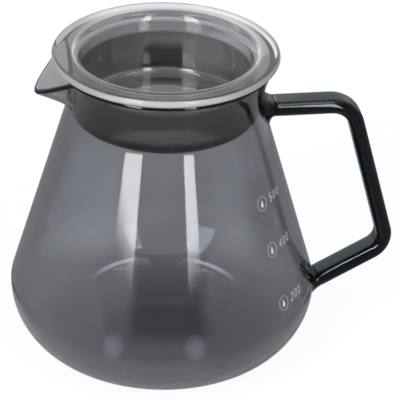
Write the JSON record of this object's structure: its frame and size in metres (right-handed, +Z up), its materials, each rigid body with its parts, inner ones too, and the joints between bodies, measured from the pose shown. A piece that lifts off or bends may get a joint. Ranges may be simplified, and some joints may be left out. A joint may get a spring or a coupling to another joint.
{
  "type": "coffee server",
  "caption": "Smoked glass coffee server: a conical jug with a drawn pouring spout, a fused bar handle and a lift-off cup-shaped glass lid.",
  "frame": {"origin": "centre of the flat resting face, on the jug's axis", "axes": "+Z up along the jug's axis, +X towards the handle, -X towards the spout, +Y to the left when looking from the spout to the handle"},
  "size_m": [0.1413, 0.112, 0.1199],
  "materials": {
    "smoked_glass": "clear polished smoked glass, neutral bluish grey",
    "dark_glass": "solid smoked glass, near black where it is thick",
    "lid_glass": "polished smoked glass, neutral grey"
  },
  "bodies": {
    "jug": {"glass_body": "smoked_glass", "handle": "dark_glass", "upper_handle_weld": "dark_glass", "lower_handle_weld": "dark_glass"},
    "lid": {"lid": "lid_glass"}
  },
  "joints": [
    {"name": "lid_lift", "type": "slide", "parent": "jug", "child": "lid", "axis": [0, 0, 1], "range_m": [0, 0.06]}
  ]
}
